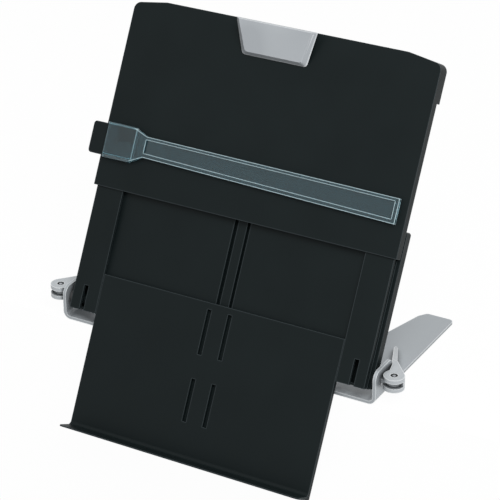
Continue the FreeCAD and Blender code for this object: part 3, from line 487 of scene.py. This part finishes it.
# Painted shade: the hollow around the core is near black, standing in for the shade of a deep hollow.
hollow_shade_steel, tree, surface, place = new_material("painted_hollow_shade", Metallic=0.4)
shade_mottle = speckle(tree, place, SHADE_MOTTLE_MM, 2).outputs["Fac"]
tree.links.new(mix_colours(tree, shade_mottle, "#08090a", "#141617"), surface.inputs["Base Color"])
tree.links.new(between(tree, shade_mottle, *HOLLOW_SHADE_ROUGHNESS), surface.inputs["Roughness"])

for side in ("left", "right"):
    low, high = (Vector(corner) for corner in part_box(f"{side}_leg_pin"))
    middle = (low + high) / 2
    deselect_all()
    bpy.ops.mesh.primitive_cylinder_add(
        vertices=PIN_SIDES, radius=HOLLOW_RADIUS * MM, depth=HOLLOW_DEPTH * MM,
        location=(0, 0, HOLLOW_DEPTH / 2 * MM))
    pin_end = start_piece(f"{side}_pin_end")
    pick_faces(pin_end, lambda middle_mm, direction: direction.z > FACING)
    inset(HOLLOW_RADIUS - CORE_RADIUS)
    pull(CORE_RISE)
    inset(CROWN_RIM)
    pull(CROWN_RISE, CROWN_SHARE)
    bpy.ops.object.mode_set(mode="OBJECT")
    bpy.ops.object.transform_apply(location=True, rotation=True, scale=True)
    soften(pin_end, PIN_END_EDGE)
    for material in (hollow_shade_steel, zinc_steel):
        pin_end.data.materials.append(material)
    for face in pin_end.data.polygons:
        from_axis = math.hypot(face.center.x, face.center.y)
        face.material_index = int(from_axis < (CORE_RADIUS + CORE_MARGIN) * MM)
    pin_end.data.transform(Matrix.Translation((middle.x, middle.y, high.z)))
    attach(pin_end, "base")
    print(pin_end.name, "faces", len(pin_end.data.polygons))

# %% [markdown]
# The board leans back. Screws and spring are placed by how far across, up and out of it they lie.

# %% Places on the leaning panel
PANEL_LEAN = math.radians(62.6)
PANEL_ORIGIN = Vector((0, 31.54, 118.54)) * MM

up_panel = Vector((0, math.cos(PANEL_LEAN), math.sin(PANEL_LEAN)))
out_of_panel = Vector((0, -math.sin(PANEL_LEAN), math.cos(PANEL_LEAN)))


def panel_place(across, up, out):
    """Where a piece that faces backwards goes, from a place on the panel in millimetres."""
    place = PANEL_ORIGIN + (Vector((across, 0, 0)) + up_panel * up + out_of_panel * out) * MM
    across_axis = Vector((1, 0, 0))
    turned = Matrix((across_axis, (-out_of_panel).cross(across_axis), -out_of_panel)).transposed()
    return Matrix.Translation(place) @ turned.to_4x4()


print("up the panel is", [round(value, 3) for value in up_panel])

# %% [markdown]
# Four pan-head screws hold the two shells of the board together, and they show on its back. A real one has
# a low crowned head. We shape one from a cylinder, crown it in two steps, and pull the shank out below.

# %% Shape of one shell screw
HEAD_RADIUS = 2.8
HEAD_RIM = 0.5
HEAD_CROWN = (0.5, 0.88)  # rise in millimetres, and share of the width left
HEAD_TOP = (0.25, 0.72)
SHANK_RADIUS = 1.3
SHANK_LENGTH = 7.3
SCREW_SIDES = 32

deselect_all()
bpy.ops.mesh.primitive_cylinder_add(
    vertices=SCREW_SIDES, radius=HEAD_RADIUS * MM, depth=HEAD_RIM * MM,
    location=(0, 0, HEAD_RIM / 2 * MM))
screw = start_piece("shell_screw")
bpy.ops.object.mode_set(mode="OBJECT")
bpy.ops.object.transform_apply(location=True, rotation=True, scale=True)
bpy.ops.object.mode_set(mode="EDIT")
pick_faces(screw, lambda middle, direction: direction.z > FACING)
pull(*HEAD_CROWN)
pull(*HEAD_TOP)
pick_faces(screw, lambda middle, direction: direction.z < -FACING)
inset(HEAD_RADIUS - SHANK_RADIUS)
pull(-SHANK_LENGTH)
bpy.ops.object.mode_set(mode="OBJECT")
print("screw drawn in", len(screw.data.polygons), "faces")

# %% [markdown]
# The cross recess is cut by a flat bar that tapers to its tip, once along and once across.

# %% Cross recess of the screw
CROSS_WIDTH = 0.8
CROSS_REACH = 3.2
CROSS_DEPTH = 0.9
CROSS_TIP_SHARES = (0.7, 0.45, 1)

head_height = HEAD_RIM + HEAD_CROWN[0] + HEAD_TOP[0]
deselect_all()
bpy.ops.mesh.primitive_cube_add(size=1, location=(0, 0, head_height * MM), scale=(
    CROSS_WIDTH * MM, CROSS_REACH * MM, CROSS_DEPTH * 2 * MM))
cutter = start_piece("cross_cutter")
pick_faces(cutter, lambda middle, direction: direction.z < -FACING)
bpy.ops.transform.resize(value=CROSS_TIP_SHARES)
bpy.ops.object.mode_set(mode="OBJECT")
bpy.ops.object.transform_apply(location=True, rotation=True, scale=True)
for turn in (0, 90):
    cutter.data.transform(Matrix.Rotation(math.radians(turn), 4, "Z"))
    cut = screw.modifiers.new("cross", "BOOLEAN")
    cut.object = cutter
    cut.solver = "EXACT"
    with bpy.context.temp_override(object=screw, active_object=screw, selected_objects=[screw]):
        bpy.ops.object.modifier_apply(modifier=cut.name)
bpy.data.objects.remove(cutter)
print("screw with its cross has", len(screw.data.polygons), "faces")

# %% [markdown]
# A copy goes to each post on the frame's back. Joined, they stand for the CAD model's plain screws.

# %% One screw at each post
FRAME_BACK = -19.7
POST_ACROSS = 100
POST_HEIGHTS = (-95, 8)
POSTS = [(side * POST_ACROSS, up) for side in (-1, 1) for up in POST_HEIGHTS]

screws = []
for post in POSTS:
    copy = bpy.data.objects.new("screw_copy", screw.data.copy())
    bpy.context.collection.objects.link(copy)
    copy.data.transform(panel_place(*post, FRAME_BACK))
    screws.append(copy)
bpy.data.objects.remove(screw)
deselect_all()
for copy in screws:
    copy.select_set(True)
bpy.context.view_layer.objects.active = screws[0]
bpy.ops.object.join()
cross_screws = bpy.context.object
cross_screws.name = "cross_recessed_screws"
cross_screws.data.materials.clear()
cross_screws.data.materials.append(zinc_steel)
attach(cross_screws, "panel")
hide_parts("shell_screws")
print("screws at", [tuple(round(value, 1) for value in post) for post in POSTS])

# %% [markdown]
# A bent leaf of spring steel pushes the clip's lever up. Its foot lies on the hinge plate, and the rest
# rises in one bow until its tip bears on the lever's underside. We draw the foot as a narrow plane and
# extrude only its end edge along the bow.

# %% Leaf spring of the clip
SPRING_MIDDLE = -2.5
SPRING_HALF = 5
SPRING_FOOT = (162.4, 167.6)
SPRING_BASE = 1.21
SPRING_STEPS = ((1.4, 0.45), (1.0, 1.6), (0.2, 2.1), (-0.4, 2.3), (-0.8, 2.05), (-1.4, 1.3))
foot_length = (SPRING_FOOT[1] - SPRING_FOOT[0]) * MM

deselect_all()
bpy.ops.mesh.primitive_plane_add(size=1, location=(
    SPRING_MIDDLE * MM, sum(SPRING_FOOT) / 2 * MM, SPRING_BASE * MM))
spring = start_piece("bowed_leaf_spring")
bpy.ops.transform.resize(value=(SPRING_HALF * 2 * MM, foot_length, 1))
bpy.ops.mesh.select_mode(type="EDGE")
bpy.ops.mesh.select_all(action="DESELECT")
mesh = bmesh.from_edit_mesh(spring.data)
for edge in mesh.edges:
    edge.select_set(all(vertex.co.y > 0 for vertex in edge.verts))
bmesh.update_edit_mesh(spring.data)
for along, out in SPRING_STEPS:
    bpy.ops.mesh.extrude_region_move(TRANSFORM_OT_translate={"value": (0, along * MM, out * MM)})
bpy.ops.object.mode_set(mode="OBJECT")
bpy.ops.object.transform_apply(location=True, rotation=True, scale=True)
print("leaf drawn in", len(spring.data.polygons), "faces")

# %% [markdown]
# The bends are smoothed and the sheet gets its thickness, towards the inside of the bow. Then the leaf
# goes to its place on the leaning panel.

# %% Leaf spring, thickness and place
SPRING_STRIP = 0.35
SMOOTH_LEVELS = 2

for kind, settings in (
        ("SUBSURF", {
            "levels": SMOOTH_LEVELS, "render_levels": SMOOTH_LEVELS, "boundary_smooth": "PRESERVE_CORNERS"}),
        ("SOLIDIFY", {"thickness": SPRING_STRIP * MM, "offset": 1.0})):
    made = spring.modifiers.new(kind.lower(), kind)
    for name, value in settings.items():
        setattr(made, name, value)
    bpy.ops.object.modifier_apply(modifier=made.name)
panel_axes = Matrix((Vector((1, 0, 0)), up_panel, out_of_panel)).transposed()
spring.data.transform(Matrix.Translation(PANEL_ORIGIN) @ panel_axes.to_4x4())
spring.data.materials.append(zinc_steel)
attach(spring, "upper")
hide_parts("clip_spring")
places = [panel_axes.transposed() @ (vertex.co - PANEL_ORIGIN) / MM for vertex in spring.data.vertices]
print("leaf up the panel", [round(way(place.y for place in places), 2) for way in (min, max)],
      "and out", [round(way(place.z for place in places), 2) for way in (min, max)])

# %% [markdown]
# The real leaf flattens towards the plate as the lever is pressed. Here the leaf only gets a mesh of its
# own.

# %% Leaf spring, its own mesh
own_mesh(spring)

# %% [markdown]
# The photograph's studio is plain white. A pale desk carries the holder, with its front edge just in
# front of the base strip, so that the shelf can hang past it. What the camera sees of the desk is mostly a
# plain white, and the rest takes the object's faint shadow.

# %% Desk
DESK_FRONT = -16.2 * MM
DESK_SPAN = 3
DESK_DEPTH = 0.9
DESK_GLOW_SHARE = 0.97
CLOUD_MM = 200


def seen_by_camera(tree):
    """1 for a ray from the camera, and for one mirrored or bent on its way to it, and otherwise 0."""
    rays = add_node(tree, "ShaderNodeLightPath")
    seen = add_node(tree, "ShaderNodeMath", {"operation": "MAXIMUM"}, {
        0: rays.outputs["Is Camera Ray"], 1: rays.outputs["Is Glossy Ray"]})
    return add_node(tree, "ShaderNodeMath", {"operation": "MAXIMUM"}, {
        0: seen.outputs["Value"], 1: rays.outputs["Is Transmission Ray"]}).outputs["Value"]


deselect_all()
bpy.ops.mesh.primitive_cube_add(
    size=1, location=(0, DESK_FRONT + DESK_SPAN / 2, -DESK_DEPTH / 2),
    scale=(DESK_SPAN * 2, DESK_SPAN, DESK_DEPTH))
desk = bpy.context.object
desk.name = "desk"
desk_paint, tree, surface, place = new_material("desk_white", Metallic=0.0, Roughness=0.9)
cloud = speckle(tree, place, CLOUD_MM, 1).outputs["Fac"]
tree.links.new(mix_colours(tree, cloud, "#f8f8f8", "#fbfbfb"), surface.inputs["Base Color"])
glow = add_node(tree, "ShaderNodeEmission", inputs={"Color": (1, 1, 1, 1), "Strength": 1.0})
share = add_node(tree, "ShaderNodeMath", {"operation": "MULTIPLY"}, {
    0: seen_by_camera(tree), 1: DESK_GLOW_SHARE})
mixed = add_node(tree, "ShaderNodeMixShader", inputs={
    0: share.outputs["Value"], 1: surface.outputs["BSDF"], 2: glow.outputs["Emission"]})
tree.links.new(mixed.outputs["Shader"], tree.nodes["Material Output"].inputs["Surface"])
desk.data.materials.append(desk_paint)
print("desk front at", round(DESK_FRONT / MM, 1), "mm")

# %% [markdown]
# An even sky lights everything, and one large soft lamp on the reader's right gives the metal its shading.

# %% Sky and lamp
SKY_LIGHT = 0.44
LAMP_POWER = 39
LAMP_PLACE = (1.0, -1.0, 1.7)
LAMP_SIZE = 1.2

world = bpy.data.worlds.new("studio")
bpy.context.scene.world = world
world.use_nodes = True
tree = world.node_tree
tree.nodes.clear()
strength = add_node(tree, "ShaderNodeMapRange", inputs={
    "Value": seen_by_camera(tree), "To Min": SKY_LIGHT, "To Max": 1.0})
sky = add_node(tree, "ShaderNodeBackground", inputs={
    "Color": (1, 1, 1, 1), "Strength": strength.outputs["Result"]})
add_node(tree, "ShaderNodeOutputWorld", inputs={"Surface": sky.outputs["Background"]})

lamp_data = bpy.data.lights.new("soft_lamp", "AREA")
lamp_data.energy = LAMP_POWER
lamp_data.size = LAMP_SIZE
lamp = bpy.data.objects.new("soft_lamp", lamp_data)
bpy.context.collection.objects.link(lamp)
lamp.location = LAMP_PLACE
lamp.rotation_euler = (VIEW_TARGET - lamp.location).to_track_quat("-Z", "Y").to_euler()

bpy.context.scene.view_settings.view_transform = "Standard"
print("lamp of", LAMP_POWER, "watts at", LAMP_PLACE)
